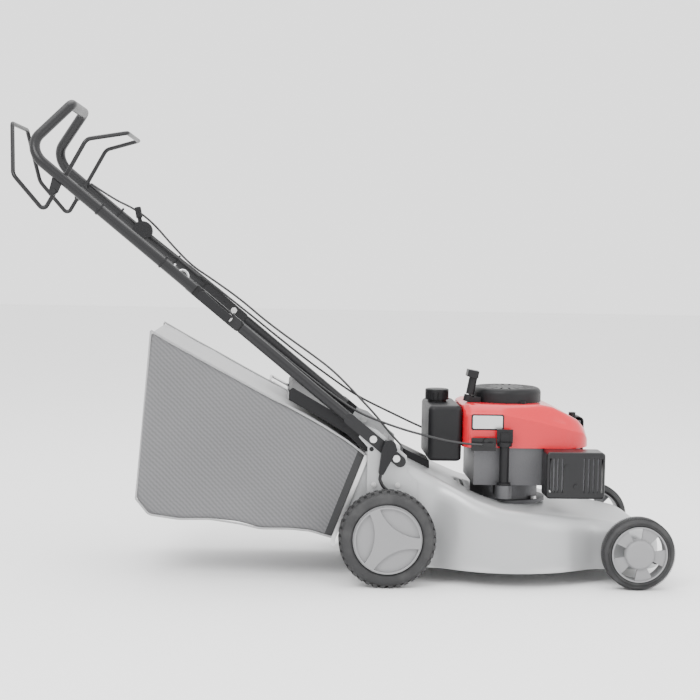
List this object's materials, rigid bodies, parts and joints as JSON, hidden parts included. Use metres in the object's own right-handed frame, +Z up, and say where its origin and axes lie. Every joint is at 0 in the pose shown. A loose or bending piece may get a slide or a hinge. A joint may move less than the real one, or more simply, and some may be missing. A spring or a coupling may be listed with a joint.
{
  "type": "push lawn mower",
  "caption": "Self-propelled petrol rotary lawn mower with a steel deck, red engine cowl, folding handle, two control bails, rear flap and a fabric grass bag.",
  "frame": {"origin": "on the ground under the centre of the bounding box", "axes": "+X to the front of the mower, +Y to its left side, +Z up"},
  "size_m": [1.3976, 0.51, 0.998],
  "materials": {
    "silver_steel": "satin silver powder coat",
    "black_steel": "satin black powder coat",
    "red_cowl": "gloss moulded",
    "black_plastic": "fine grain",
    "grey_plastic": "light grey moulded",
    "tyre_rubber": "moulded tread",
    "cast_aluminium": "as cast",
    "plated_steel": "zinc plated",
    "forged_steel": "machined and oiled",
    "bag_mesh": "woven mesh",
    "cable_jacket": "smooth jacket",
    "chrome_wire": "bright"
  },
  "bodies": {
    "deck": {"deck_shell": "silver_steel", "side_plate_right": "silver_steel", "side_plate_left": "silver_steel", "handle_bolts": "plated_steel", "lower_handle_right": "black_steel", "lower_handle_left": "black_steel", "transmission_cover": "black_plastic", "engine_base": "cast_aluminium", "crankcase": "cast_aluminium", "shroud": "red_cowl", "recoil_housing": "black_plastic", "fuel_tank": "black_plastic", "oil_filler_tube": "black_plastic", "muffler": "forged_steel", "muffler_guard": "black_steel", "carburettor": "cast_aluminium", "control_plate": "black_steel", "engine_bolts": "plated_steel", "drive_cable": "cable_jacket", "throttle_cable": "cable_jacket", "brake_cable": "cable_jacket"},
    "crank": {"crankshaft": "forged_steel", "flywheel": "cast_aluminium", "blade_adapter": "forged_steel", "blade": "black_steel", "blade_bolt": "forged_steel"},
    "grip": {"starter_grip": "black_plastic"},
    "fuel_cap": {"fuel_cap": "black_plastic"},
    "dipstick": {"dipstick": "black_plastic"},
    "plug_boot": {"plug_boot": "black_plastic"},
    "filter_cover": {"air_filter_cover": "black_plastic"},
    "rear_axle": {"rear_axle_carrier": "black_steel", "gearbox": "cast_aluminium", "height_lever": "black_steel", "height_knob": "black_plastic"},
    "drive_shaft": {"drive_shaft": "forged_steel"},
    "front_axle": {"front_axle": "black_steel"},
    "wheel_rear_right": {"tyre_rear_right": "tyre_rubber", "rim_rear_right": "grey_plastic", "cover_rear_right": "grey_plastic"},
    "wheel_rear_left": {"tyre_rear_left": "tyre_rubber", "rim_rear_left": "grey_plastic", "cover_rear_left": "grey_plastic"},
    "wheel_front_right": {"tyre_front_right": "tyre_rubber", "rim_front_right": "grey_plastic"},
    "wheel_front_left": {"tyre_front_left": "tyre_rubber", "rim_front_left": "grey_plastic"},
    "upper_handle": {"upper_handle": "black_steel", "joint_bolts": "plated_steel", "bail_mounts": "black_steel", "throttle_housing": "black_plastic", "rope_guide": "chrome_wire"},
    "quick_release_right": {"quick_release_right": "black_plastic"},
    "quick_release_left": {"quick_release_left": "black_plastic"},
    "drive_bail": {"drive_bail": "black_steel"},
    "brake_bail": {"brake_bail": "black_steel"},
    "throttle_lever": {"throttle_lever": "black_plastic"},
    "flap": {"rear_flap": "black_plastic"},
    "grass_bag": {"bag_fabric": "bag_mesh", "bag_frame": "plated_steel"}
  },
  "joints": [
    {"name": "crank_spin", "type": "hinge", "parent": "deck", "child": "crank", "pos_m": [0.37165, 0, 0.06], "axis": [0, 0, 1], "continuous": true},
    {"name": "starter_pull", "type": "slide", "parent": "deck", "child": "grip", "axis": [0.187, 0, 0.9824], "range_m": [0, 0.5]},
    {"name": "fuel_cap_lift", "type": "slide", "parent": "deck", "child": "fuel_cap", "axis": [0, 0, 1], "range_m": [0, 0.2]},
    {"name": "dipstick_pull", "type": "slide", "parent": "deck", "child": "dipstick", "axis": [0, 0, 1], "range_m": [0, 0.13]},
    {"name": "plug_boot_pull", "type": "slide", "parent": "deck", "child": "plug_boot", "axis": [1, 0, 0], "range_m": [0, 0.03]},
    {"name": "filter_cover_pull", "type": "slide", "parent": "deck", "child": "filter_cover", "axis": [0, 1, 0], "range_m": [0, 0.05]},
    {"name": "height_adjust", "type": "hinge", "parent": "deck", "child": "rear_axle", "pos_m": [0.16965, 0, 0.078], "axis": [0, -1, 0], "range_deg": [0, 28]},
    {"name": "front_axle_swing", "type": "hinge", "parent": "deck", "child": "front_axle", "pos_m": [0.67065, 0, 0.058], "axis": [0, -1, 0], "range_deg": [0, 41]},
    {"name": "drive_shaft_spin", "type": "hinge", "parent": "rear_axle", "child": "drive_shaft", "pos_m": [0.09965, 0, 0.1015], "axis": [0, 1, 0], "continuous": true},
    {"name": "wheel_rear_right_spin", "type": "hinge", "parent": "drive_shaft", "child": "wheel_rear_right", "pos_m": [0.09965, -0.23, 0.1015], "axis": [0, 1, 0], "continuous": true},
    {"name": "wheel_rear_left_spin", "type": "hinge", "parent": "drive_shaft", "child": "wheel_rear_left", "pos_m": [0.09965, 0.23, 0.1015], "axis": [0, 1, 0], "continuous": true},
    {"name": "wheel_front_right_spin", "type": "hinge", "parent": "front_axle", "child": "wheel_front_right", "pos_m": [0.62265, -0.23, 0.0762], "axis": [0, 1, 0], "continuous": true},
    {"name": "wheel_front_left_spin", "type": "hinge", "parent": "front_axle", "child": "wheel_front_left", "pos_m": [0.62265, 0.23, 0.0762], "axis": [0, 1, 0], "continuous": true},
    {"name": "handle_fold", "type": "hinge", "parent": "deck", "child": "upper_handle", "pos_m": [-0.23485, 0, 0.55076], "axis": [0, 1, 0], "range_deg": [0, 125], "deforming": ["drive_cable", "throttle_cable", "brake_cable"]},
    {"name": "quick_release_right_swing", "type": "hinge", "parent": "upper_handle", "child": "quick_release_right", "pos_m": [-0.23485, -0.1954, 0.55076], "axis": [0.6319, 0, 0.7751], "range_deg": [0, 90]},
    {"name": "quick_release_left_swing", "type": "hinge", "parent": "upper_handle", "child": "quick_release_left", "pos_m": [-0.23485, 0.1954, 0.55076], "axis": [-0.6319, 0, -0.7751], "range_deg": [0, 90]},
    {"name": "drive_bail_squeeze", "type": "hinge", "parent": "upper_handle", "child": "drive_bail", "pos_m": [-0.59235, 0, 0.803], "axis": [0, 1, 0], "range_deg": [0, 33], "stiffness_Nm_per_rad": 0.6, "springref_deg": -28.65},
    {"name": "brake_bail_squeeze", "type": "hinge", "parent": "upper_handle", "child": "brake_bail", "pos_m": [-0.57535, 0, 0.8284], "axis": [0, -1, 0], "range_deg": [0, 36], "stiffness_Nm_per_rad": 0.8, "springref_deg": -28.65},
    {"name": "throttle_swing", "type": "hinge", "parent": "upper_handle", "child": "throttle_lever", "pos_m": [-0.44535, 0.165, 0.72838], "axis": [0, 1, 0], "range_deg": [-30, 30]},
    {"name": "flap_lift", "type": "hinge", "parent": "deck", "child": "flap", "pos_m": [0.06665, 0, 0.281], "axis": [0, 1, 0], "range_deg": [0, 35], "stiffness_Nm_per_rad": 0.4, "springref_deg": -57.3},
    {"name": "bag_lift_off", "type": "slide", "parent": "deck", "child": "grass_bag", "axis": [-0.9397, 0, 0.342], "range_m": [0, 0.2]}
  ],
  "couplings": [
    {"joint": "front_axle_swing", "follows": "height_adjust", "ratio": 1.45}
  ]
}
